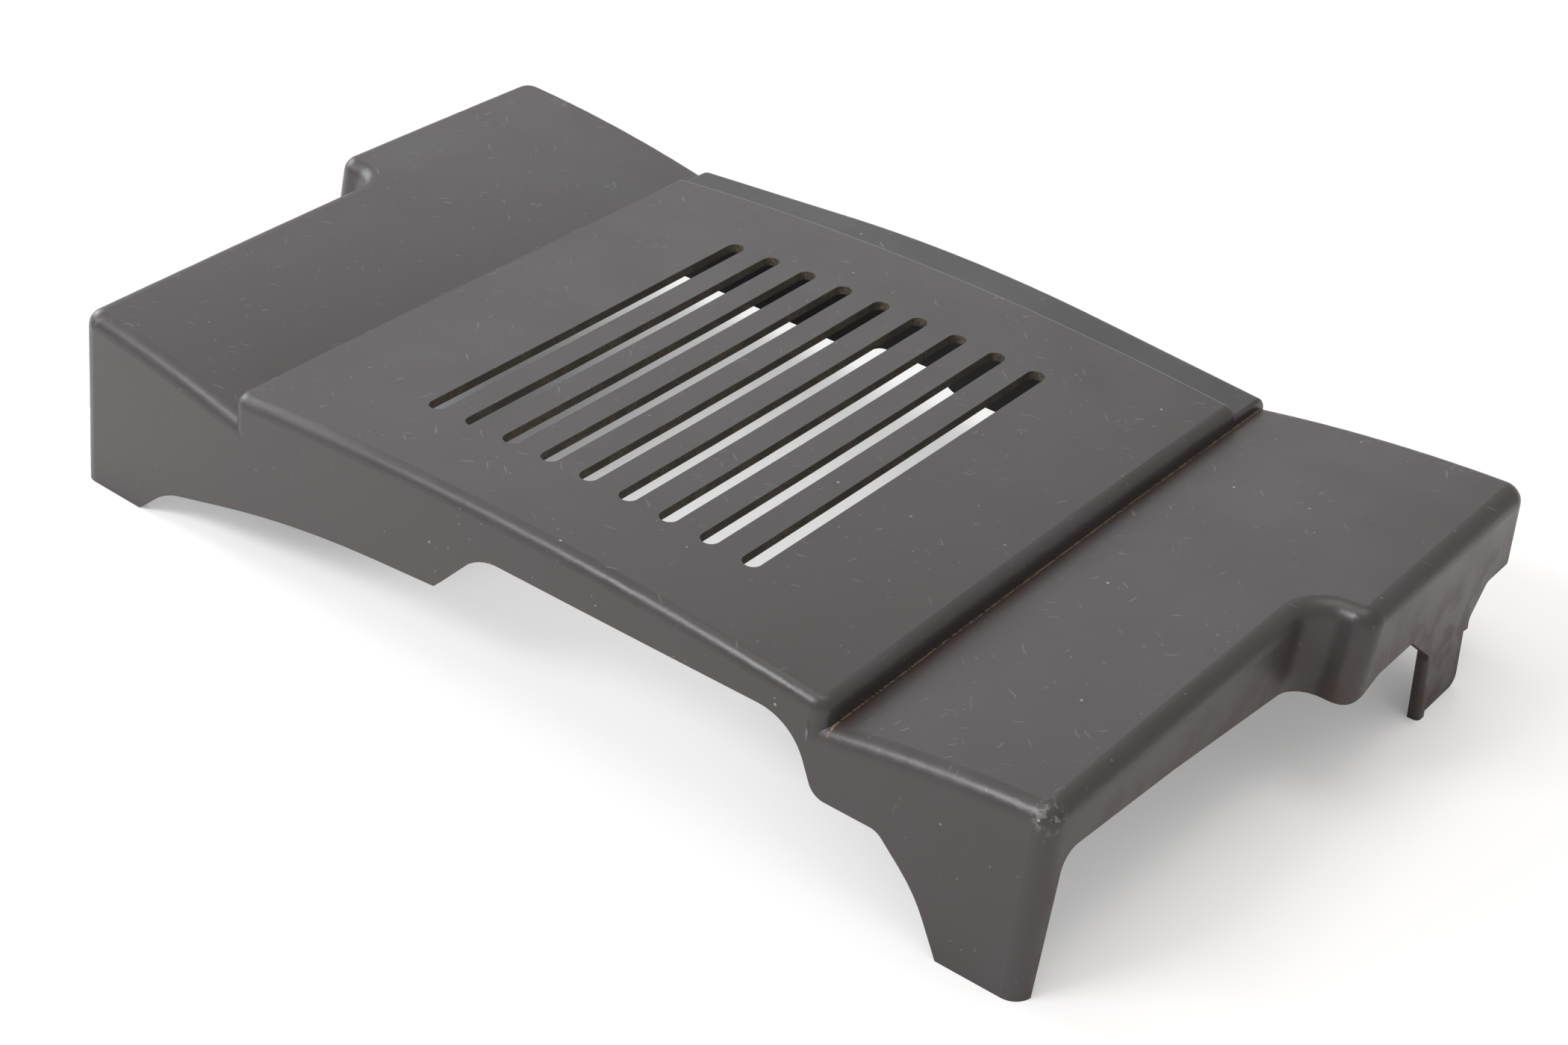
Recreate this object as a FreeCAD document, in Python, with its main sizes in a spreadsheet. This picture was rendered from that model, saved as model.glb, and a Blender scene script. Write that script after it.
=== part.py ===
"""Engine cover: one thin moulded shell with a raised, slotted centre panel."""

import FreeCAD, Part
import math
import os

import Sketcher

Vector = FreeCAD.Vector

# Driving sizes in millimetres (angles in degrees)
SIZES = {
    # plan of the shell
    "front_half_width": 256.0,
    "end_flare": 1.9,
    "ear_overhang": 24.8,
    "depth": 310.5,
    "front_bow": 2.0,
    "ear_depth": 134.2,
    "origin_depth": 152.7,
    # lean of the skirts, measured at the ground against the top
    "front_lean": 7.5,
    "ear_front_lean": 18.0,
    "rear_lean": 3.5,
    "end_lean": 0.2,
    "plan_top": 80.0,
    # the vertical corner between front skirt and ear
    "step_inner_corner": 12.0,
    # wall and roundings
    "wall": 4.0,
    "top_rounding": 7.5,
    "panel_rounding": 6.0,
    "strip_side_rounding": 2.0,
    "panel_rear_rounding": 0.8,
    # wings: heights of the crowned top across the part
    "wing_root": 120.0,
    "wing_root_height": 63.2,
    "wing_middle": 215.0,
    "wing_middle_height": 80.6,
    "wing_tip_reach": 9.3,
    "wing_tip_height": 85.6,
    "wing_front_drop": 2.5,
    "wing_rear_drop": 0.6,
    # raised panel and the lower strip behind it
    "panel_half_width": 158.5,
    "strip_depth": 26.5,
    "panel_front_height": 87.8,
    "panel_middle_height": 86.6,
    "panel_rear_height": 88.9,
    "panel_front_side": 79.0,
    "panel_middle_side": 80.9,
    "panel_rear_side": 80.0,
    "strip_ridge_height": 89.3,
    "strip_side_height": 76.2,
    "strip_crown_rounding": 870.0,
    # vent slots
    "slot_count": 9,
    "slot_pitch": 21.0,
    "slot_width": 8.4,
    "slot_front": 42.5,
    "slot_rear_margin": 41.0,
    "slot_cut_depth": 24.0,
    # front opening from the left foot to the right one: places from the middle and heights
    "front_cut_depth": 56.0,
    "left_foot_inner": 217.1,
    "arch_start": 199.6,
    "arch_start_height": 14.7,
    "arch_start_rounding": 40.0,
    "arch_middle": 117.6,
    "arch_middle_height": 35.8,
    "arch_rounding": 560.0,
    "tip": 36.1,
    "tip_height": 42.4,
    "tip_rounding": 2.0,
    "opening_left": 13.2,
    "opening_left_height": 66.1,
    "opening_right": 143.8,
    "opening_right_height": 67.3,
    "opening_rounding": 25.0,
    "shoulder_left": 157.2,
    "shoulder_right": 186.5,
    "shoulder_height": 40.5,
    "shoulder_rounding": 8.5,
    "leg_waist": 206.0,
    "leg_waist_height": 23.5,
    "leg_waist_rounding": 60.0,
    "right_foot_inner": 219.1,
    # end openings from the front leg to the rear corner: places along the depth and heights
    "end_cut_reach": 50.0,
    "front_leg_rear": -0.4,
    "end_crown": 9.7,
    "end_crown_height": 61.1,
    "end_crown_rounding": 9.0,
    "end_bend": 80.0,
    "end_bend_height": 56.4,
    "end_bend_rounding": 150.0,
    "ear_foot_setback": 5.3,
    "ear_foot_height": 47.0,
    "ear_foot_rounding": 10.0,
    "ear_bottom_start": 13.7,
    "ear_bottom_end": 20.5,
    "ear_bottom": 53.3,
    "ear_bottom_rounding": 12.0,
    "ear_apex_rounding": 4.0,
    "rear_corner_bottom": 48.6,
    "rear_corner_start": 11.0,
    # rear legs
    "rear_leg_setback": 72.0,
    "rear_leg_width": 36.0,
    "rear_leg_spread": 4.5,
    "rear_leg_shoulder": 36.0,
    "rear_leg_lip": 5.0,
    "rear_leg_thickness": 5.0,
    "leg_front_rounding": 2.5,
    "rear_foot_rounding": 5.0,
    "leg_edge_rounding": 3.0,
    "leg_root_rounding": 5.0,
    "leg_recess": 1.4,
    "leg_recess_slope": 7.0,
    # rear skirt outline
    "rear_cut_depth": 40.0,
    "rear_skirt_half_width": 190.0,
    "rear_skirt_slope": 18.0,
    "rear_skirt_bottom": 11.0,
    "rear_skirt_rounding": 10.0,
    "rear_notch_centre": -31.0,
    "rear_notch_width": 58.0,
    "rear_notch_slope": 14.0,
    "rear_notch_height": 19.2,
    "rear_notch_rounding": 12.0,
}

# Sizes that follow from the others
DERIVED = {
    "front_corner": "=top_rounding + 1",
    "ear_corner": "=top_rounding + 1.7",
    "panel_corner": "=panel_rounding + 2",
    "ear_half_width": "=front_half_width + end_flare + ear_overhang",
    "wing_tip": "=ear_half_width + wing_tip_reach",
    "panel_depth": "=depth - strip_depth",
    "slot_rear": "=panel_depth - slot_rear_margin",
    "ear_front": "=depth - ear_depth",
    "ear_foot": "=ear_front - ear_foot_setback",
    "ear_bottom_front": "=ear_front + ear_bottom_start",
    "rear_leg_front": "=depth - rear_leg_setback",
    "rear_leg_rear": "=rear_leg_front + rear_leg_width",
    "ear_bottom_rear": "=rear_leg_front - ear_bottom_end",
    "end_cut_depth": "=ear_overhang + end_cut_reach",
}

# How far cutting shapes reach past the shell
OVERSHOOT = 20.0

# How near to its expected place an edge is looked for
NEAR = 5.0

# Levels between which the blocks stand
LOW = {"outer": 0.0, "inner": -OVERSHOOT}
HIGH = 120.0

doc = FreeCAD.newDocument("engine_cover")
sheet = doc.addObject("Spreadsheet::Sheet", "Sizes")
for row, (alias, value) in enumerate({**SIZES, **DERIVED}.items(), start=1):
    sheet.set(f"A{row}", alias)
    sheet.set(f"B{row}", str(value))
    sheet.setAlias(f"B{row}", alias)
doc.recompute()


def size(alias):
    """The number the sheet holds under this name."""
    return float(sheet.get(alias))


def origin_plane(body, role):
    """One of a body's own base planes."""
    return next(item for item in body.Origin.OriginFeatures if item.Role == role)


def new_sketch(body, name, role, offset):
    """An empty sketch on a base plane, moved along the plane's normal.

    The offset is a number or the words of a sum of sheet cells.
    """
    sketch = body.newObject("Sketcher::SketchObject", name)
    sketch.AttachmentSupport = [(origin_plane(body, role), "")]
    sketch.MapMode = "FlatFace"
    if isinstance(offset, str):
        sketch.setExpression("AttachmentOffset.Base.z", offset)
    else:
        sketch.AttachmentOffset = FreeCAD.Placement(Vector(0, 0, offset), FreeCAD.Rotation())
    return sketch


def arc_through(start, middle, end):
    return Part.Arc(Vector(*start), Vector(*middle), Vector(*end))


def line(start, end):
    return Part.LineSegment(Vector(*start), Vector(*end))


def rounded_path(corners):
    """Lines and tangent arcs along (x, y, radius) corners, closed at the end."""
    points = [Vector(x, y) for x, y, radius in corners]
    radii = [corner[2] for corner in corners]
    count = len(points)
    starts, ends, arcs = [], [], []
    for index in range(count):
        here = points[index]
        back = (points[index - 1] - here).normalize()
        ahead = (points[(index + 1) % count] - here).normalize()
        half_angle = back.getAngle(ahead) / 2
        reach = radii[index] / math.tan(half_angle)
        starts.append(here + back * reach)
        ends.append(here + ahead * reach)
        bisector = (back + ahead).normalize()
        to_centre = radii[index] / math.sin(half_angle)
        arcs.append(here + bisector * (to_centre - radii[index]))
    pieces = []
    for index in range(count):
        if radii[index] > 0:
            pieces.append(Part.Arc(starts[index], arcs[index], ends[index]))
        pieces.append(Part.LineSegment(ends[index], starts[(index + 1) % count]))
    return pieces


def below_ground(at_ground, corner):
    """The point where a line from a corner through a ground point reaches the cutting depth."""
    across, height = corner
    return at_ground + (at_ground - across) * OVERSHOOT / height, -OVERSHOOT


def lean(cell, shift, level, sign=1):
    """A plan size at one level of a leaning skirt, 0 at the top where no cell is named."""
    at_top = size(cell) if cell else 0.0
    return at_top + sign * size(shift) * (1 - level / size("plan_top"))


def bowed_front(half_width, side_width, front):
    """The slightly bowed front edge between two sides, part of a very large circle."""
    bow = size("front_bow")
    radius = (half_width ** 2 + bow ** 2) / (2 * bow)
    at_side = front - bow + radius - math.sqrt(radius ** 2 - side_width ** 2)
    arc = arc_through((-side_width, at_side), (0, front - bow), (side_width, at_side))
    return arc, at_side


# The whole plan at the level of its upper end, with sharp corners
def plan_outline(inset):
    half_front = lean("front_half_width", "end_lean", HIGH) - inset
    half_rear = half_front + size("end_flare")
    half_ear = lean("ear_half_width", "end_lean", HIGH) - inset
    step = lean("ear_front", "ear_front_lean", HIGH, -1) + inset
    rear = lean("depth", "rear_lean", HIGH) - inset
    front, at_side = bowed_front(half_front, half_front, lean(None, "front_lean", HIGH, -1) + inset)
    return [
        front,
        line((half_front, at_side), (half_rear, step)),
        line((half_rear, step), (half_ear, step)),
        line((half_ear, step), (half_ear, rear)),
        line((half_ear, rear), (-half_ear, rear)),
        line((-half_ear, rear), (-half_ear, step)),
        line((-half_ear, step), (-half_rear, step)),
        line((-half_rear, step), (-half_front, at_side)),
    ]


# The narrower plan of the panel, with the same bowed front
def panel_outline(inset):
    half_front = lean("front_half_width", "end_lean", HIGH) - inset
    half = size("panel_half_width") - inset
    rear = size("panel_depth") - inset
    front, at_side = bowed_front(half_front, half, lean(None, "front_lean", HIGH, -1) + inset)
    return [
        front,
        line((half, at_side), (half, rear)),
        line((half, rear), (-half, rear)),
        line((-half, rear), (-half, at_side)),
    ]


# The plan of the strip behind the panel
def strip_outline(inset):
    half = size("panel_half_width") - inset
    front = size("panel_depth") - OVERSHOOT
    rear = lean("depth", "rear_lean", HIGH) - inset
    return [
        line((-half, front), (half, front)),
        line((half, front), (half, rear)),
        line((half, rear), (-half, rear)),
        line((-half, rear), (-half, front)),
    ]


def add_loft(body, name, sections):
    """A solid through sketches given as (name, plane role, offset, pieces)."""
    sketches = []
    for label, role, offset, pieces in sections:
        sketch = new_sketch(body, label, role, offset)
        sketch.addGeometry(pieces, False)
        sketches.append(sketch)
    doc.recompute()
    loft = body.newObject("PartDesign::AdditiveLoft", name)
    loft.Profile = sketches[0]
    loft.Sections = sketches[1:]
    body.Tip = loft
    doc.recompute()
    return loft


def intersect(body, name, other):
    """Keep what this body shares with another one."""
    common = body.newObject("PartDesign::Boolean", name)
    common.Type = "Common"
    common.setObjects([other])
    body.Tip = common
    doc.recompute()
    return common


def names_of_edges(base, wanted):
    """The edges whose middle point passes the test."""
    names = []
    for number, edge in enumerate(base.Shape.Edges, start=1):
        middle = edge.valueAt((edge.FirstParameter + edge.LastParameter) / 2)
        if wanted(middle, edge):
            names.append(f"Edge{number}")
    return names


def round_edges(body, name, base, wanted, radius):
    """Round the edges whose middle point passes the test."""
    fillet = body.newObject("PartDesign::Fillet", name)
    fillet.Base = (base, names_of_edges(base, wanted))
    fillet.setExpression("Radius", radius)
    body.Tip = fillet
    doc.recompute()
    return fillet


def plan_body(name, kind, outline, inset, corners=()):
    """A leaning-walled block standing on its plan, its walls drafted from the top.

    Corners are (name, half width cell, plan depth cell, radius words) to be rounded.
    """
    body = doc.addObject("PartDesign::Body", name)
    sketch = new_sketch(body, f"{name}_outline", "XY_Plane", HIGH)
    sketch.addGeometry(outline(inset), False)
    pad = body.newObject("PartDesign::Pad", f"{name}_pad")
    pad.Profile = sketch
    pad.Length = HIGH - LOW[kind]
    pad.Reversed = True
    body.Tip = pad
    doc.recompute()
    result = pad
    walls = [
        ("front_lean", lambda face: normal_of(face).y < -0.9 and face.CenterOfMass.y < size("ear_front") / 2),
        ("rear_lean", lambda face: normal_of(face).y > 0.9 and (
            face.CenterOfMass.y > size("depth") - OVERSHOOT)),
        ("ear_front_lean", lambda face: normal_of(face).y < -0.9 and (
            abs(face.CenterOfMass.y - size("ear_front")) < OVERSHOOT)),
        ("end_lean", lambda face: abs(normal_of(face).x) > 0.9 and (
            abs(face.CenterOfMass.x) > size("wing_middle"))),
    ]
    for shift, is_wall in walls:
        faces = [f"Face{number}" for number, face in enumerate(result.Shape.Faces, start=1)
                 if is_wall(face)]
        if not faces:
            continue
        top = [f"Face{number}" for number, face in enumerate(result.Shape.Faces, start=1)
               if normal_of(face).z > 0.9]
        draft = body.newObject("PartDesign::Draft", f"{name}_{shift}")
        draft.Base = (result, faces)
        draft.NeutralPlane = (result, top)
        draft.setExpression("Angle", f"atan(Sizes.{shift} / Sizes.plan_top)")
        body.Tip = draft
        doc.recompute()
        result = draft
    for label, across, along, radius in corners:
        def upright_here(middle, edge, across=across, along=along):
            beside = abs(abs(middle.x) - size(across)) < 2 * NEAR
            level_with = abs(middle.y - (size(along) if along else 0)) < 2 * NEAR
            rise = edge.tangentAt(edge.FirstParameter).z
            return abs(rise) > 0.9 and beside and level_with
        result = round_edges(body, f"{name}_{label}", result, upright_here, radius)
    return body


def normal_of(face):
    """A face's outward direction at the middle of its surface."""
    first_u, last_u, first_v, last_v = face.ParameterRange
    return face.normalAt((first_u + last_u) / 2, (first_v + last_v) / 2)


# One wing: a block under a top that is crowned both ways
def wing_block(kind, inset):
    name = f"{kind}_wing"
    body = doc.addObject("PartDesign::Body", name)
    root = size("wing_root")
    tip = size("wing_tip")
    middle = size("wing_middle")
    stations = [
        ("front", -OVERSHOOT, size("wing_front_drop")),
        ("middle", size("depth") / 2, 0.0),
        ("rear", size("depth") + OVERSHOOT, size("wing_rear_drop")),
    ]
    low = LOW[kind] - 1
    sections = []
    for label, along, drop in stations:
        heights = [size(cell) - drop - inset for cell in
                   ("wing_root_height", "wing_middle_height", "wing_tip_height")]
        pieces = [
            line((root, low), (tip, low)),
            line((tip, low), (tip, heights[2])),
            arc_through((tip, heights[2]), (middle, heights[1]), (root, heights[0])),
            line((root, heights[0]), (root, low)),
        ]
        sections.append((f"{name}_{label}", "XZ_Plane", -along, pieces))
    add_loft(body, f"{name}_loft", sections)
    plan = plan_body(f"{name}_plan", kind, plan_outline, inset, [
        ("front_corner", "front_half_width", None, f"Sizes.front_corner - {inset}"),
        ("inner_corner", "front_half_width", "ear_front", f"Sizes.step_inner_corner + {inset}"),
        ("outer_corner", "ear_half_width", "ear_front", f"Sizes.ear_corner - {inset}"),
        ("rear_corner", "ear_half_width", "depth", f"Sizes.ear_corner - {inset}"),
    ])
    common = intersect(body, f"{name}_common", plan)

    def on_rim(centre, edge):
        beyond_root = centre.x > root + 1
        near_top = centre.z > size("wing_root_height") - 2 * NEAR
        return beyond_root and near_top and abs(edge.tangentAt(edge.FirstParameter).z) < 0.5

    if kind == "outer":
        round_edges(body, f"{name}_rim", common, on_rim, "Sizes.top_rounding")
    return body


def is_crest(point):
    """High up and in the middle of the part's length."""
    return abs(point.x) < NEAR and point.z > size("strip_side_height") - NEAR


# The raised panel: an arched block, flatter in the middle of its length
def panel_block(kind, inset):
    name = f"{kind}_panel"
    body = doc.addObject("PartDesign::Body", name)
    reach = size("panel_half_width") + OVERSHOOT
    half = size("panel_half_width")
    stations = [
        ("front", -OVERSHOOT, "panel_front_height", "panel_front_side"),
        ("middle", size("panel_depth") / 2, "panel_middle_height", "panel_middle_side"),
        ("rear", size("panel_depth") + OVERSHOOT, "panel_rear_height", "panel_rear_side"),
    ]
    low = LOW[kind] - 1
    sections = []
    for label, along, crest, side in stations:
        top = size(crest) - inset
        fall = (size(crest) - size(side)) * (reach / half) ** 2
        pieces = [
            line((-reach, low), (reach, low)),
            line((reach, low), (reach, top - fall)),
            arc_through((reach, top - fall), (0, top), (-reach, top - fall)),
            line((-reach, top - fall), (-reach, low)),
        ]
        sections.append((f"{name}_{label}", "XZ_Plane", -along, pieces))
    add_loft(body, f"{name}_loft", sections)
    plan = plan_body(f"{name}_plan", kind, panel_outline, inset, [
        ("front_corner", "panel_half_width", None, f"Sizes.panel_corner - {inset}"),
    ])
    common = intersect(body, f"{name}_common", plan)

    def on_front(middle, edge):
        return is_crest(middle) and middle.y < NEAR

    def on_rear(middle, edge):
        return is_crest(middle) and middle.y > size("panel_depth") - NEAR

    if kind == "outer":
        rim = round_edges(body, f"{name}_rim", common, on_front, "Sizes.panel_rounding")
        round_edges(body, f"{name}_rear_rim", rim, on_rear, "Sizes.panel_rear_rounding")
    return body


# The strip behind the panel: lower, with straight sides and a crown between them
def strip_block(kind, inset):
    name = f"{kind}_strip"
    body = doc.addObject("PartDesign::Body", name)
    reach = size("panel_half_width") + OVERSHOOT
    half = size("panel_half_width")
    ridge = size("strip_ridge_height") - inset
    side = ridge - (size("strip_ridge_height") - size("strip_side_height")) * reach / half
    front = size("panel_depth") - OVERSHOOT
    rear = size("depth") + OVERSHOOT
    low = LOW[kind] - 1
    sketch = new_sketch(body, f"{name}_section", "XZ_Plane", -front)
    sketch.addGeometry(rounded_path([
        (-reach, low, 0),
        (reach, low, 0),
        (reach, side, 0),
        (0, ridge, size("strip_crown_rounding") - inset),
        (-reach, side, 0),
    ]), False)
    pad = body.newObject("PartDesign::Pad", f"{name}_pad")
    pad.Profile = sketch
    pad.Length = rear - front
    pad.Reversed = True
    body.Tip = pad
    doc.recompute()

    plan = plan_body(f"{name}_plan", kind, strip_outline, inset)
    common = intersect(body, f"{name}_common", plan)

    def on_rear(middle, edge):
        return is_crest(middle) and middle.y > size("depth") - NEAR

    def on_side(middle, edge):
        beside = abs(middle.x) > half - 1 and abs(edge.tangentAt(edge.FirstParameter).y) > 0.5
        return beside and middle.z > size("strip_side_height") - NEAR

    if kind == "outer":
        rim = round_edges(body, f"{name}_rear_rim", common, on_rear, "Sizes.top_rounding")
        round_edges(body, f"{name}_side_rim", rim, on_side, "Sizes.strip_side_rounding")
    return body


# The outer and the inner form, each of two mirrored wings, panel and strip
def whole_form(kind, inset):
    wing = wing_block(kind, inset)
    panel = panel_block(kind, inset)
    strip = strip_block(kind, inset)
    other_wing = doc.addObject("Part::Mirroring", f"{kind}_other_wing")
    other_wing.Source = wing
    other_wing.Normal = Vector(1, 0, 0)
    form = doc.addObject("Part::MultiFuse", f"{kind}_form")
    form.Shapes = [wing, other_wing, panel, strip]
    form.Refine = True
    doc.recompute()
    return form


outer_form = whole_form("outer", 0.0)
inner_form = whole_form("inner", size("wall"))
hollowed = doc.addObject("Part::Cut", "hollowed_form")
hollowed.Base = outer_form
hollowed.Tool = inner_form
doc.recompute()

cover = doc.addObject("PartDesign::Body", "engine_cover")
cover.Label = "engine_cover"
cover.BaseFeature = hollowed
doc.recompute()


def volume_now():
    return cover.Shape.Volume


def cut_with(name, sketch, depth, reverse=False, slant=None):
    """A pocket of a depth given in words, checked to take material away.

    A slant is the direction it takes where that isn't square to the sketch.
    """
    before = volume_now()
    pocket = cover.newObject("PartDesign::Pocket", name)
    pocket.Profile = sketch
    pocket.Reversed = reverse
    pocket.setExpression("Length", depth)
    if slant:
        pocket.UseCustomVector = True
        pocket.Direction = slant
    cover.Tip = pocket
    doc.recompute()
    if volume_now() > before - 1:
        raise ValueError(f"{name} cut nothing")
    return pocket


def repeat_on_left(name, feature):
    """The same feature mirrored to the other end."""
    mirror = cover.newObject("PartDesign::Mirrored", name)
    mirror.Originals = [feature]
    mirror.MirrorPlane = (origin_plane(cover, "YZ_Plane"), [""])
    cover.Tip = mirror
    doc.recompute()
    return mirror


# Front opening: a long arch, a pointed tip, a high level edge and a shoulder
front_sketch = new_sketch(cover, "front_opening_outline", "XZ_Plane", OVERSHOOT)
arch_start = (-size("arch_start"), size("arch_start_height"))
leg_waist = (size("leg_waist"), size("leg_waist_height"))
front_sketch.addGeometry(rounded_path([
    (*below_ground(-size("left_foot_inner"), arch_start), 0),
    (*arch_start, size("arch_start_rounding")),
    (-size("arch_middle"), size("arch_middle_height"), size("arch_rounding")),
    (-size("tip"), size("tip_height"), size("tip_rounding")),
    (-size("opening_left"), size("opening_left_height"), size("opening_rounding")),
    (size("opening_right"), size("opening_right_height"), size("opening_rounding")),
    (size("shoulder_left"), size("shoulder_height"), size("shoulder_rounding")),
    (size("shoulder_right"), size("shoulder_height"), size("shoulder_rounding")),
    (*leg_waist, size("leg_waist_rounding")),
    (*below_ground(size("right_foot_inner"), leg_waist), 0),
]), False)
cut_with("front_opening", front_sketch, "Sizes.front_cut_depth")

# Rear legs: a thicker lip behind each leg's front edge
leg_front = size("rear_leg_front")
leg_rear = size("rear_leg_rear")
leg_spread = size("rear_leg_spread")
leg_shoulder = size("rear_leg_shoulder")
lip_rear = leg_front + size("rear_leg_lip")
lip_sketch = new_sketch(cover, "leg_lip_outline", "YZ_Plane",
                        "Sizes.ear_half_width - Sizes.rear_leg_thickness")
lip_sketch.addGeometry(rounded_path([
    (leg_front, 0, 0),
    (lip_rear + leg_spread, 0, 0),
    (lip_rear, leg_shoulder, 0),
    (leg_front, leg_shoulder, 0),
]), False)
leg_lip = cover.newObject("PartDesign::Pad", "leg_lip")
leg_lip.Profile = lip_sketch
leg_lip.setExpression("Length", "Sizes.rear_leg_thickness - Sizes.wall / 2")
cover.Tip = leg_lip
doc.recompute()
repeat_on_left("leg_lip_left", leg_lip)

# End openings: before and behind the rear leg
end_sketch = new_sketch(cover, "end_opening_outline", "YZ_Plane",
                        f"Sizes.ear_half_width + {OVERSHOOT}")
crown = (size("end_crown"), size("end_crown_height"))
behind = size("depth") + OVERSHOOT
corner_bottom = size("rear_corner_bottom")
end_sketch.addGeometry(rounded_path([
    (*below_ground(size("front_leg_rear"), crown), 0),
    (*crown, size("end_crown_rounding")),
    (size("end_bend"), size("end_bend_height"), size("end_bend_rounding")),
    (size("ear_foot"), size("ear_foot_height"), size("ear_foot_rounding")),
    (size("ear_bottom_front"), size("ear_bottom"), size("ear_bottom_rounding")),
    (size("ear_bottom_rear"), size("ear_bottom"), size("ear_apex_rounding")),
    (leg_front, leg_shoulder, size("leg_edge_rounding")),
    (*below_ground(leg_front + leg_spread, (leg_front, leg_shoulder)), 0),
]), False)
end_sketch.addGeometry(rounded_path([
    (*below_ground(leg_rear + leg_spread, (leg_rear, leg_shoulder)), 0),
    (leg_rear, leg_shoulder, size("leg_root_rounding")),
    (leg_rear + size("rear_corner_start"), corner_bottom, size("leg_root_rounding")),
    (behind, corner_bottom, 0),
    (behind, -OVERSHOOT, 0),
]), False)
end_opening = cut_with("end_opening", end_sketch, "Sizes.end_cut_depth")
repeat_on_left("end_opening_left", end_opening)

# Rear legs: the upright front edge is rounded from the ground up to the shoulder
edge_sketch = new_sketch(cover, "leg_front_edge_outline", "XY_Plane", 0)
edge_rounding = size("leg_front_rounding")
edge_x = lean("ear_half_width", "end_lean", 0)
edge_y = leg_front + leg_spread
edge_sketch.addGeometry([
    arc_through((edge_x - edge_rounding, edge_y),
                (edge_x - edge_rounding * (1 - math.sqrt(0.5)),
                 edge_y + edge_rounding * (1 - math.sqrt(0.5))),
                (edge_x, edge_y + edge_rounding)),
    line((edge_x, edge_y + edge_rounding), (edge_x + 1, edge_y + edge_rounding)),
    line((edge_x + 1, edge_y + edge_rounding), (edge_x + 1, edge_y - 1)),
    line((edge_x + 1, edge_y - 1), (edge_x - edge_rounding, edge_y - 1)),
    line((edge_x - edge_rounding, edge_y - 1), (edge_x - edge_rounding, edge_y)),
], False)
leg_front_edge = cut_with("leg_front_edge", edge_sketch,
                          "Sizes.rear_leg_shoulder - Sizes.leg_edge_rounding",
                          slant=Vector(0, -leg_spread, leg_shoulder))
repeat_on_left("leg_front_edge_left", leg_front_edge)

# Rear skirt: deep in the middle with one low notch, short at the corners
rear_sketch = new_sketch(cover, "rear_opening_outline", "XZ_Plane",
                         f"-Sizes.depth - {OVERSHOOT}")
skirt_half = size("rear_skirt_half_width")
skirt_end = skirt_half + size("rear_skirt_slope")
skirt_bottom = size("rear_skirt_bottom")
skirt_rounding = size("rear_skirt_rounding")
notch_left = size("rear_notch_centre") - size("rear_notch_width") / 2
notch_right = size("rear_notch_centre") + size("rear_notch_width") / 2
notch_slope = size("rear_notch_slope")
notch_top = size("rear_notch_height")
notch_rounding = size("rear_notch_rounding")
beyond = size("ear_half_width") + OVERSHOOT
rear_sketch.addGeometry(rounded_path([
    (-beyond, -OVERSHOOT, 0),
    (-beyond, corner_bottom, 0),
    (-skirt_end, corner_bottom, skirt_rounding),
    (-skirt_half, skirt_bottom, skirt_rounding),
    (notch_left, skirt_bottom, notch_rounding),
    (notch_left + notch_slope, notch_top, notch_rounding),
    (notch_right - notch_slope, notch_top, notch_rounding),
    (notch_right, skirt_bottom, notch_rounding),
    (skirt_half, skirt_bottom, skirt_rounding),
    (skirt_end, corner_bottom, skirt_rounding),
    (beyond, corner_bottom, 0),
    (beyond, -OVERSHOOT, 0),
]), False)
cut_with("rear_opening", rear_sketch, "Sizes.rear_cut_depth", True)

# A shallow recess on the outer face of each rear leg, behind the lip
recess_sketch = new_sketch(cover, "leg_recess_outline", "YZ_Plane",
                           "Sizes.ear_half_width + Sizes.wall")
recess_sketch.addGeometry(rounded_path([
    (*below_ground(lip_rear + leg_spread, (lip_rear, leg_shoulder)), 0),
    (lip_rear, leg_shoulder, size("leg_edge_rounding")),
    (leg_rear + 2 * leg_spread, leg_shoulder - size("leg_recess_slope"), 0),
    (leg_rear + 2 * leg_spread, -OVERSHOOT, 0),
]), False)
leg_recess = cut_with("leg_recess", recess_sketch, "Sizes.wall + Sizes.leg_recess")
repeat_on_left("leg_recess_left", leg_recess)

# The rear legs' feet are rounded at the back
def at_rear_foot(middle, edge):
    on_ground = abs(middle.z) < 1
    return on_ground and middle.y > leg_rear and abs(middle.x) > size("front_half_width")


round_edges(cover, "rear_foot_rounding", cover.Tip, at_rear_foot, "Sizes.rear_foot_rounding")

# Vent slots: the outermost one, then the even row of them
slot_sketch = new_sketch(cover, "slot_outline", "XY_Plane", "Sizes.panel_rear_height + Sizes.wall")
slot_radius = size("slot_width") / 2
slot_x = -size("slot_pitch") * (size("slot_count") - 1) / 2
front_y = size("slot_front") + slot_radius
rear_y = size("slot_rear") - slot_radius
slot_sketch.addGeometry([
    arc_through((slot_x - slot_radius, front_y), (slot_x, front_y - slot_radius),
                (slot_x + slot_radius, front_y)),
    line((slot_x + slot_radius, front_y), (slot_x + slot_radius, rear_y)),
    arc_through((slot_x + slot_radius, rear_y), (slot_x, rear_y + slot_radius),
                (slot_x - slot_radius, rear_y)),
    line((slot_x - slot_radius, rear_y), (slot_x - slot_radius, front_y)),
], False)
tangencies = [((0, 2), (1, 1)), ((1, 2), (2, 1)), ((2, 2), (3, 1)), ((3, 2), (0, 1))]
for (first, first_end), (second, second_end) in tangencies:
    slot_sketch.addConstraint(
        Sketcher.Constraint("Tangent", first, first_end, second, second_end))
slot_sketch.addConstraint(Sketcher.Constraint("Vertical", 1))
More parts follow.
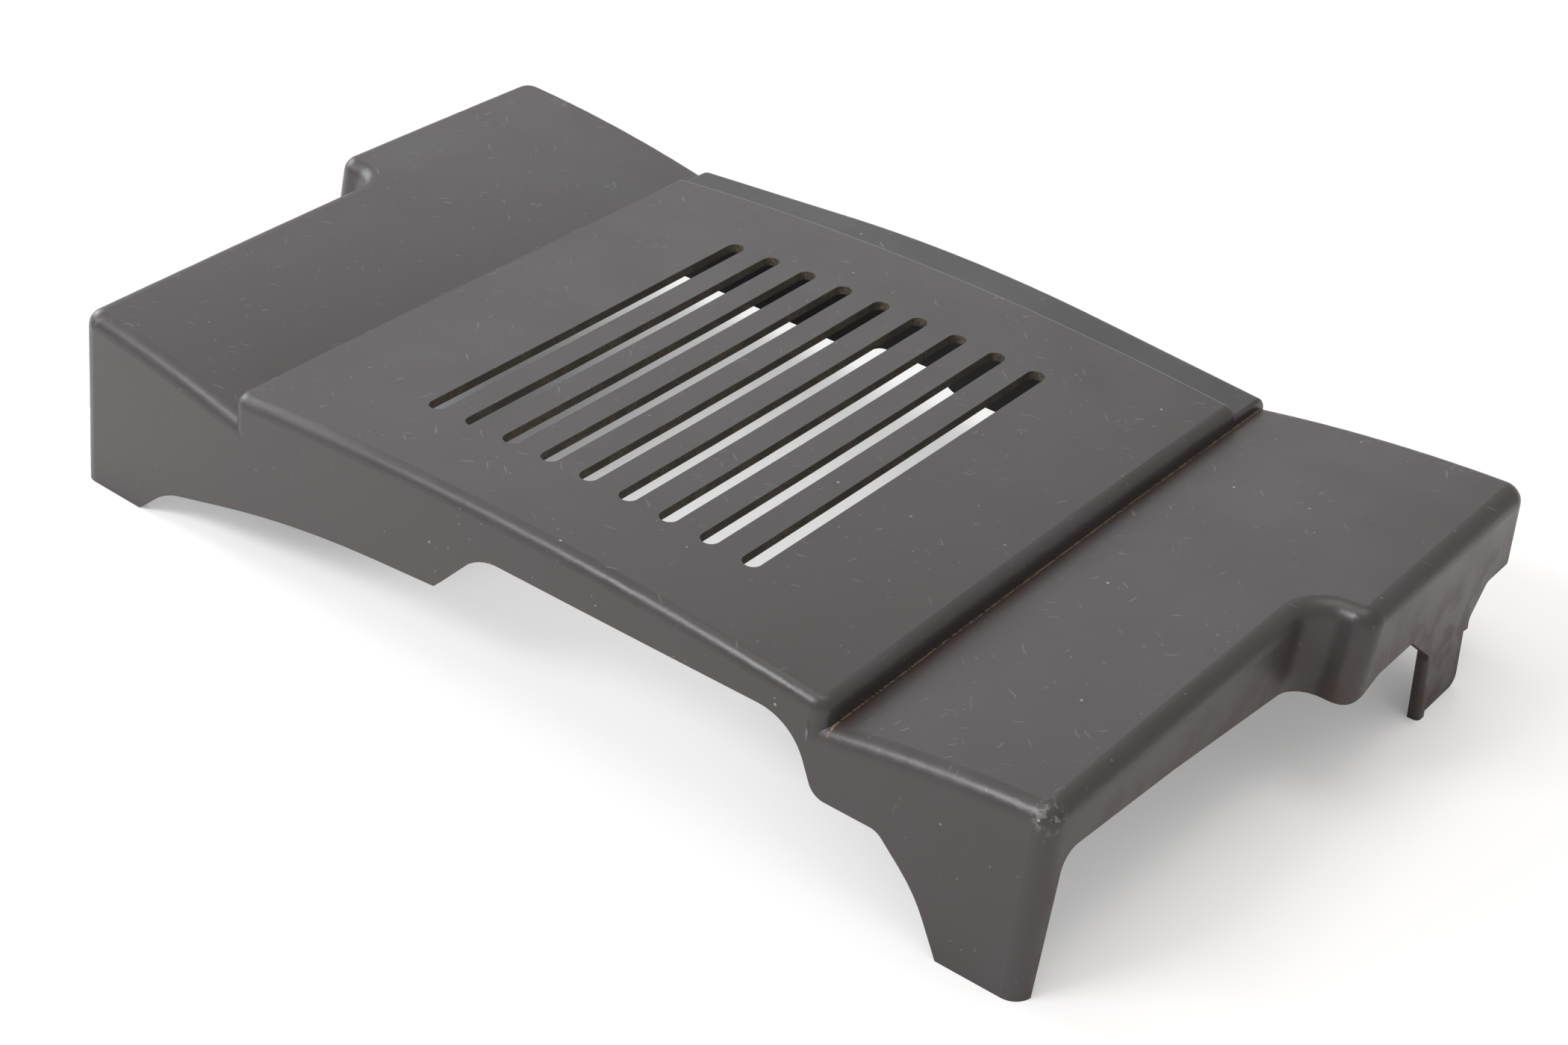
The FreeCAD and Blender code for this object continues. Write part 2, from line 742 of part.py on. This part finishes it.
for name, kind_of, geometry, value, words in [
    ("end_radius", "Radius", (0,), slot_radius, "Sizes.slot_width / 2"),
    ("sideways", "DistanceX", (-1, 1, 0, 3), slot_x,
     "-Sizes.slot_pitch * (Sizes.slot_count - 1) / 2"),
    ("front_centre", "DistanceY", (-1, 1, 0, 3), front_y,
     "Sizes.slot_front + Sizes.slot_width / 2"),
    ("rear_centre", "DistanceY", (-1, 1, 2, 3), rear_y,
     "Sizes.slot_rear - Sizes.slot_width / 2"),
]:
    number = slot_sketch.addConstraint(Sketcher.Constraint(kind_of, *geometry, value))
    slot_sketch.renameConstraint(number, name)
    slot_sketch.setExpression(f"Constraints.{name}", words)
doc.recompute()
slot = cut_with("slot", slot_sketch, "Sizes.slot_cut_depth")
slot_row = cover.newObject("PartDesign::LinearPattern", "slot_row")
slot_row.Originals = [slot]
slot_row.Direction = (slot_sketch, ["H_Axis"])
slot_row.setExpression("Length", "Sizes.slot_pitch * (Sizes.slot_count - 1)")
slot_row.setExpression("Occurrences", "Sizes.slot_count")
cover.Tip = slot_row
doc.recompute()


# The shared origin lies on the ground under the middle of the depth
cover.Placement = FreeCAD.Placement(Vector(0, -size("origin_depth"), 0), FreeCAD.Rotation())
doc.recompute()

# Every object is sound before anything is written
for item in doc.Objects:
    if "Invalid" in item.State or "Error" in item.State:
        raise ValueError(f"{item.Name} failed: {item.State}")
if cover.Shape.isNull() or not cover.Shape.isValid() or len(cover.Shape.Solids) != 1:
    raise ValueError("the cover is not one sound solid")

os.makedirs("parts", exist_ok=True)
cover.Shape.exportStep("parts/engine_cover.step")
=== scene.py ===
# %% [markdown]
# # A moulded engine cover in a white studio
# The cover is one thin plastic shell, so most of its looks come from two things: the soft
# light that slides over its crowned top, and the fine grain, dust and wear of old satin
# plastic. The shape comes ready made from the CAD frame. This lesson gives it its finish,
# sets it on a white floor and lights it softly.

# %% Load the frame
import math

import bpy
from mathutils import Euler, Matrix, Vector

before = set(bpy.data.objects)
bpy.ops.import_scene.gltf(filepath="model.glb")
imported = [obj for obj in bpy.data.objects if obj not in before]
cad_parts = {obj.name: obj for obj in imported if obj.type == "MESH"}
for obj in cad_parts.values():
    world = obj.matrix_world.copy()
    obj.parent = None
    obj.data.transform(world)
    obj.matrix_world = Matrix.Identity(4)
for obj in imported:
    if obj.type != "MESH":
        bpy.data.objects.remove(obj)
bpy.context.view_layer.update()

# %% [markdown]
# ## Shader sums as plain sums
# A material is a graph of small nodes. Writing it as sums keeps it readable: `Flow` wraps one
# socket, and adding or multiplying two of them adds the Math node that does it. `Finish`
# makes any other node from its type, its settings and the values of its sockets.


# %% A socket that can be used in sums
class Flow:
    def __init__(self, finish, socket):
        self.finish = finish
        self.socket = socket

    def _sum(self, operation, first, second):
        return self.finish.node("ShaderNodeMath", {"operation": operation}, {0: first, 1: second})

    def __add__(self, other):
        return self._sum("ADD", self, other)

    def __radd__(self, other):
        return self._sum("ADD", other, self)

    def __sub__(self, other):
        return self._sum("SUBTRACT", self, other)

    def __rsub__(self, other):
        return self._sum("SUBTRACT", other, self)

    def __mul__(self, other):
        return self._sum("MULTIPLY", self, other)

    def __rmul__(self, other):
        return self._sum("MULTIPLY", other, self)

    def larger(self, other):
        return self._sum("MAXIMUM", self, other)

    def size(self):
        return self._sum("ABSOLUTE", self, 0.0)

    def beside(self, output):
        """Another output of the same node."""
        return Flow(self.finish, self.socket.node.outputs[output])


# %% A material under construction
class Finish:
    def __init__(self, name):
        self.material = bpy.data.materials.new(name)
        self.material.use_nodes = True
        self.tree = self.material.node_tree
        self.shader = self.tree.nodes["Principled BSDF"]

    def node(self, kind, settings=None, values=None, output=0):
        """Any node: its settings first, then its sockets by name or number."""
        made = self.tree.nodes.new(kind)
        for setting, value in (settings or {}).items():
            setattr(made, setting, value)
        for socket, value in (values or {}).items():
            self.fill(made.inputs[socket], value)
        return Flow(self, made.outputs[output])

    def fill(self, socket, value):
        if isinstance(value, Flow):
            self.tree.links.new(value.socket, socket)
        else:
            socket.default_value = value

    def noise(self, place, scale, detail=2.0, roughness=0.5):
        return self.node("ShaderNodeTexNoise", None, {
            "Vector": place, "Scale": scale, "Detail": detail, "Roughness": roughness})

    def step(self, value, low, high):
        """0 below low, 1 above high, and a smooth rise between."""
        return self.node("ShaderNodeMapRange", {"interpolation_type": "SMOOTHSTEP"}, {
            "Value": value, "From Min": low, "From Max": high})

    def mix(self, factor, first, second):
        made = self.tree.nodes.new("ShaderNodeMix")
        made.data_type = "RGBA"
        self.fill(made.inputs["Factor"], factor)
        self.fill(made.inputs[6], first)
        self.fill(made.inputs[7], second)
        return Flow(self, made.outputs[2])

    def set(self, socket, value):
        self.fill(self.shader.inputs[socket], value)

    def paint(self):
        """What the main shader gives, to be mixed with another one."""
        return Flow(self, self.shader.outputs[0])


# %% [markdown]
# ## The finish of old satin plastic
# The real shell is dark grey nylon out of a finely spark-eroded mould. Close up it has a grain
# of about a third of a millimetre. Years in an engine bay leave pale specks, faint scratches,
# scuffed corners, a brown film in the crease beside the panel, stained ends, and crumbs of dirt
# in the slots. Painted pictures could hold all this, but sums on the object's own coordinates,
# in metres, need no picture, stay sharp close up and stay in place from every side.

# %% [markdown]
# The plastic itself reflects only three or four hundredths of the light. What makes it look
# grey is its satin gloss, so its colours are written much darker than they look.

# %% Plain colours of the finish
PLASTIC = (0.0365, 0.0315, 0.0315, 1.0)
WORN_PLASTIC = (0.0440, 0.0355, 0.0370, 1.0)
# The scratch colour also paints a highlight along the panel's rear edge.
SCRATCH_AND_HIGHLIGHT = (0.110, 0.104, 0.100, 1.0)
STAIN = (0.046, 0.026, 0.019, 1.0)
# Painted shade for the strip behind the panel, not a colour of the plastic.
STRIP_SHADE = (0.029, 0.028, 0.029, 1.0)
FILM = (0.190, 0.140, 0.085, 1.0)
CRUMBS = (0.095, 0.072, 0.050, 1.0)
SLOT_DIRT = (0.042, 0.034, 0.026, 1.0)
DUST = (0.28, 0.27, 0.25, 1.0)

# %% Places on the shell, in metres from its middle and above the floor
PANEL_HALF_WIDTH = 0.1585
PANEL_REAR = 0.1313
VALLEY_LEVEL = 0.066
SLOT_ROW_HALF_WIDTH = 0.090
SLOT_FRONT = -0.112
SLOT_REAR = 0.0903
SLOT_WALL_LEVEL = 0.074
FRONT_HALF_WIDTH = 0.2562
END_STAIN_TOP = 0.080
FRONT_CORNER = (0.2520, -0.1500, 0.0790)


# %% One coordinate or one part of a direction
def part_of(finish, vector, axis):
    split = finish.tree.nodes.new("ShaderNodeSeparateXYZ")
    finish.fill(split.inputs[0], vector)
    return Flow(finish, split.outputs[axis])


# %% [markdown]
# ## Dirt, and painted shade on the strip
# A mask is a number from 0, clean, to 1, dirty. One mask, on the strip behind the panel's rear
# step, is painted shade rather than dirt: it darkens the whole strip evenly. Each of the others
# says where a kind of dirt lies: inside limits of width, depth and height, broken up by noise.
# Crumbs need a fine noise and stains a coarse one.

# %% Dirt in the right crease, on the ends and in the slots, and painted shade on the strip
def dirt_and_shade_masks(finish, place, facing_up):
    side = part_of(finish, place, "X")
    across = side.size()
    along = part_of(finish, place, "Y")
    height = part_of(finish, place, "Z")
    crumbly = finish.noise(place, 700.0, 2.0)
    patchy = finish.noise(place, 75.0, 4.0)
    above_valley = finish.step(height, VALLEY_LEVEL, VALLEY_LEVEL + 0.002)
    right_half = finish.step(side, -0.05, 0.05)
    beside_panel = finish.step(across, PANEL_HALF_WIDTH + 0.0001, PANEL_HALF_WIDTH + 0.0003)
    beside_panel = beside_panel * above_valley * right_half
    line = 1.0 - finish.step(across, PANEL_HALF_WIDTH + 0.0006, PANEL_HALF_WIDTH + 0.0015)
    bleed = 1.0 - finish.step(across, PANEL_HALF_WIDTH, PANEL_HALF_WIDTH + 0.009)
    on_end = finish.step(across, FRONT_HALF_WIDTH - 0.002, FRONT_HALF_WIDTH)
    below_rim = 1.0 - finish.step(height, 0.045, END_STAIN_TOP)
    stained_end = on_end * below_rim * finish.step(patchy, 0.40, 0.62)
    within_panel = 1.0 - finish.step(across, PANEL_HALF_WIDTH - 0.001, PANEL_HALF_WIDTH)
    # Painted shade: the whole strip behind the panel's rear step is darkened as if in shade.
    on_strip = finish.step(along, PANEL_REAR, PANEL_REAR + 0.002) * within_panel
    on_wall = 1.0 - finish.step(facing_up, 0.30, 0.60)
    in_row = 1.0 - finish.step(across, SLOT_ROW_HALF_WIDTH, SLOT_ROW_HALF_WIDTH + 0.001)
    in_slots = on_wall * in_row * finish.step(height, SLOT_WALL_LEVEL, SLOT_WALL_LEVEL + 0.001)
    in_slots = in_slots * finish.step(along, SLOT_FRONT - 0.003, SLOT_FRONT)
    rear_end = finish.step(along, SLOT_REAR - 0.0040, SLOT_REAR - 0.0010)
    crumbs = in_slots * rear_end.larger(0.7 * finish.step(patchy, 0.40, 0.60))
    return {
        "film": beside_panel * line * finish.step(crumbly, 0.40, 0.52),
        "bleed": beside_panel * bleed * finish.step(patchy, 0.30, 0.60),
        "stain": stained_end,
        "strip_shade": on_strip,
        "slot": in_slots,
        "crumbs": crumbs * finish.step(crumbly, 0.38, 0.58),
    }


# %% [markdown]
# ## Marks of use
# A cell pattern has one centre in each cell, and gives the distance to it and a random number
# for the cell. A small disc round each centre is a speck, and the random number says how
# strong it is, so that most specks are faint and a few are bright. In a squeezed copy of space
# the same discs are short strokes.

# %% Small marks: each cell of a cell pattern holds one mark, as strong as its own number
def scattered(finish, place, scale, radius):
    distance = finish.node("ShaderNodeTexVoronoi", None, {"Vector": place, "Scale": scale})
    strength = part_of(finish, distance.beside("Color"), "X")
    return (1.0 - finish.step(distance, 0.5 * radius, radius)) * finish.step(strength, 0.4, 1.0)


# %% Short strokes: the same marks in a turned and squeezed copy of space
def strokes(finish, place, turn, cell_length, cell_width):
    turned = finish.node("ShaderNodeMapping", {"vector_type": "TEXTURE"}, {
        "Vector": place, "Rotation": (0.0, 0.0, turn),
        "Scale": (cell_length, cell_width, cell_length)})
    return scattered(finish, turned, 1.0, 0.14)


# %% Specks, hair-fine scratches on the tops, scuffed front corners, and a painted highlight along the panel's rear edge
def wear_and_highlight_masks(finish, place, facing_up):
    specks = scattered(finish, place, 80.0, 0.060)
    faint = scattered(finish, place, 170.0, 0.110)
    bend = finish.node("ShaderNodeTexNoise", None, {"Vector": place, "Scale": 90.0}, "Color")
    bend = finish.node("ShaderNodeVectorMath", {"operation": "SCALE"}, {0: bend, "Scale": 0.006})
    bent = finish.node("ShaderNodeVectorMath", {"operation": "ADD"}, {0: place, 1: bend})
    scratches = strokes(finish, bent, 0.5, 0.024, 0.0036)
    for turn, cell_length, cell_width in ((1.3, 0.020, 0.0032), (2.4, 0.030, 0.0034)):
        scratches = scratches.larger(strokes(finish, bent, turn, cell_length, cell_width))
    scratches = scratches * finish.step(facing_up, 0.6, 0.8)
    folded = finish.node("ShaderNodeVectorMath", {"operation": "ABSOLUTE"}, {0: place})
    corner = tuple(abs(part) for part in FRONT_CORNER)
    reach = finish.node("ShaderNodeVectorMath", {"operation": "DISTANCE"}, {
        0: folded, 1: corner}, "Value")
    scuff = (1.0 - finish.step(reach, 0.002, 0.009)) * finish.step(
        finish.noise(place, 420.0, 2.0), 0.50, 0.62)
    # Painted highlight: a pale line along the panel's rear edge, where the light catches it.
    off_edge = (part_of(finish, place, "Y") - PANEL_REAR).size()
    on_panel = 1.0 - finish.step(part_of(finish, folded, "X"), 0.154, 0.158)
    edge = on_panel * (1.0 - finish.step(off_edge, 0.0006, 0.0016))
    return {"specks": specks, "faint": faint, "scratches": scratches, "scuff": scuff, "edge": edge}


# %% [markdown]
# ## The plastic
# The masks are laid over each other like coats: cloudy plastic first, then painted shade on the
# strip behind the panel, marks together with a painted highlight along the panel's rear edge,
# stains, dirt and dust. Dirt is also duller than the plastic, and a fine bump gives the mould's
# grain.

# %% The satin plastic
def satin_plastic():
    finish = Finish("cover_plastic")
    place = finish.node("ShaderNodeTexCoord", None, None, "Object")
    facing = finish.node("ShaderNodeTexCoord", None, None, "Normal")
    facing_up = part_of(finish, facing, "Z").size()
    blotches = finish.step(finish.noise(place, 22.0, 5.0, 0.6), 0.30, 0.70)
    dirt_and_shade = dirt_and_shade_masks(finish, place, facing_up)
    wear_and_highlight = wear_and_highlight_masks(finish, place, facing_up)
    colour = finish.mix(blotches, PLASTIC, WORN_PLASTIC)
    # Painted shade on the strip behind the panel.
    colour = finish.mix(dirt_and_shade["strip_shade"] * 0.8, colour, STRIP_SHADE)
    # Scratches and faint marks, plus the painted highlight along the panel's rear edge.
    marks_and_highlight = (wear_and_highlight["scratches"] * 0.7).larger(wear_and_highlight["faint"]).larger(wear_and_highlight["edge"])
    colour = finish.mix(marks_and_highlight, colour, SCRATCH_AND_HIGHLIGHT)
    colour = finish.mix((dirt_and_shade["stain"] * 0.9).larger(dirt_and_shade["bleed"] * 0.6), colour, STAIN)
    colour = finish.mix(dirt_and_shade["slot"], colour, SLOT_DIRT)
    colour = finish.mix(dirt_and_shade["crumbs"], colour, CRUMBS)
    colour = finish.mix(dirt_and_shade["film"], colour, FILM)
    colour = finish.mix(wear_and_highlight["specks"].larger(wear_and_highlight["scuff"] * 0.4), colour, DUST)
    finish.set("Base Color", colour)
    dull = (0.5 * dirt_and_shade["stain"]).larger(dirt_and_shade["slot"]).larger(dirt_and_shade["film"])
    finish.set("Roughness", 0.33 + 0.10 * blotches + 0.25 * dull)
    grain = finish.noise(place, 2600.0, 2.0) + 3.0 * dirt_and_shade["crumbs"]
    bump = finish.node("ShaderNodeBump", None, {
        "Strength": 0.35, "Distance": 0.00012, "Height": grain})
    finish.set("Normal", bump)
    finish.shader.inputs["Specular IOR Level"].default_value = 0.5
    return finish.material


# %% [markdown]
# ## The shell in its finish
# The solid already has every rounding that the eye can see, so it keeps its own mesh and only
# gets the material.

# %% Dress the shell
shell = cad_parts["engine_cover"]
shell.data.materials.clear()
shell.data.materials.append(satin_plastic())
print("shell triangles", len(shell.data.polygons))

# %% [markdown]
# ## The studio
# The floor is white paper and keeps the cover's soft shadow. Real paper would need strong
# lamps to look white. Here it glows a little for the camera alone, and the glow is shaped: it
# paints a lighter pool in the open and on the left, where the boxes stand, and painted shade
# close under the cover and under the left wing. The world is white to the camera only too, so
# that neither adds light to the plastic.

# %% How much of the paper's look is glow
SHADE_GLOW = 0.15
OPEN_GLOW = 0.35
LIT_SIDE_GLOW = 0.25
# Centre of the painted shadow on the paper under the left wing.
UNDER_LEFT_WING = (-0.24, -0.02, 0.0)
FLOOR_SIZE = 12.0


# %% White paper
def white_paper():
    """Paper that glows for the camera: painted light in the open and on the left, painted shade
    under the cover and the left wing; it keeps its real shadows too.
    """
    finish = Finish("white_paper")
    finish.set("Base Color", (0.90, 0.885, 0.875, 1.0))
    finish.set("Roughness", 0.8)
    seen = finish.node("ShaderNodeLightPath", None, None, "Is Camera Ray")
    openness = finish.node("ShaderNodeAmbientOcclusion", {"samples": 4}, {"Distance": 0.35}, "AO")
    place = finish.node("ShaderNodeTexCoord", None, None, "Object")
    # Painted light and shade on the paper: more glow on the left and in the open, less close under
    # the cover and under the left wing.
    lit_side = 1.0 - finish.step(part_of(finish, place, "X"), 0.08, 0.30)
    openness = openness + 0.25 * lit_side
    painted_floor_glow = SHADE_GLOW + LIT_SIDE_GLOW * lit_side + OPEN_GLOW * finish.step(openness, 0.2, 0.7)
    reach = finish.node("ShaderNodeVectorMath", {"operation": "DISTANCE"}, {
        0: place, 1: UNDER_LEFT_WING}, "Value")
    painted_floor_glow = painted_floor_glow * finish.step(reach, 0.07, 0.20)
    glow = finish.node("ShaderNodeEmission", None, {"Color": (1.0, 1.0, 1.0, 1.0)})
    blend = finish.node("ShaderNodeMixShader", None, {
        0: seen * painted_floor_glow, 1: finish.paint(), 2: glow})
    surface = finish.tree.nodes["Material Output"].inputs["Surface"]
    finish.tree.links.new(blend.socket, surface)
    return finish.material


# %% Lay the floor
bpy.ops.mesh.primitive_plane_add(size=FLOOR_SIZE, location=(0.0, 0.0, 0.0))
floor = bpy.context.object
floor.name = "paper_floor"
floor.data.materials.append(white_paper())
print("floor width", FLOOR_SIZE)

# %% World: soft light for the object, white to the camera
AIR_LIGHT = 0.62
AIR_COLOUR = (1.0, 0.98, 0.97, 1.0)
world = bpy.data.worlds.new("studio_air")
bpy.context.scene.world = world
world.use_nodes = True
air = world.node_tree
air.nodes.clear()
path = air.nodes.new("ShaderNodeLightPath")
light_air = air.nodes.new("ShaderNodeBackground")
light_air.inputs["Color"].default_value = AIR_COLOUR
light_air.inputs["Strength"].default_value = AIR_LIGHT
seen_air = air.nodes.new("ShaderNodeBackground")
seen_air.inputs["Color"].default_value = (1.0, 1.0, 1.0, 1.0)
seen_air.inputs["Strength"].default_value = 1.0
both = air.nodes.new("ShaderNodeMixShader")
out = air.nodes.new("ShaderNodeOutputWorld")
air.links.new(path.outputs["Is Camera Ray"], both.inputs[0])
air.links.new(light_air.outputs[0], both.inputs[1])
air.links.new(seen_air.outputs[0], both.inputs[2])
air.links.new(both.outputs[0], out.inputs["Surface"])


# %% [markdown]
# ## Lamps
# Four soft boxes stand about the cover and look at its middle. The front box draws the thin
# bright line along the front edge. The left box lifts the left end, the large overhead box
# lights the tops evenly, and a weak one behind on the left opens the far edge.

# %% Soft boxes: direction and distance from the middle in metres, size in metres, power in watts
def soft_box(name, direction, distance, width, height, power, colour=(1.0, 1.0, 1.0)):
    lamp = bpy.data.lights.new(name, "AREA")
    lamp.color = colour
    lamp.shape = "RECTANGLE"
    lamp.size = width
    lamp.size_y = height
    lamp.energy = power
    box = bpy.data.objects.new(name, lamp)
    bpy.context.collection.objects.link(box)
    toward = Vector(direction).normalized()
    box.location = toward * distance
    box.rotation_euler = toward.to_track_quat("Z", "Y").to_euler()
    return box


soft_box("front_box", (-0.33, -0.62, 0.71), 2.2, 0.90, 0.50, 29.0, (0.96, 0.98, 1.0))
soft_box("left_box", (-1.00, 0.00, 0.45), 2.2, 1.2, 0.8, 22.0, (0.90, 0.97, 1.0))
soft_box("overhead_box", (0.00, 0.00, 1.00), 2.2, 1.6, 1.2, 14.0, (1.0, 0.98, 0.96))
soft_box("rear_left_box", (-0.50, 0.67, 0.55), 2.4, 1.8, 1.0, 5.0, (0.92, 0.98, 1.0))

# %% [markdown]
# ## The camera
# The picture is taken from above the front right corner with a lens of about 62 mm, and the
# camera is tipped by three degrees.

# %% Camera: its place in metres and its turns in degrees
CAMERA_PLACE = (0.60475, -0.78361, 0.66420)
CAMERA_TURNS = (56.668, -3.035, 38.792)
camera_data = bpy.data.cameras.new("studio_camera")
camera_data.sensor_width = 36.0
camera_data.lens = 61.92
camera = bpy.data.objects.new("studio_camera", camera_data)
bpy.context.collection.objects.link(camera)
camera.location = CAMERA_PLACE
camera.rotation_euler = Euler([math.radians(turn) for turn in CAMERA_TURNS], "XYZ")
bpy.context.scene.camera = camera
bpy.context.scene.view_settings.view_transform = "Standard"
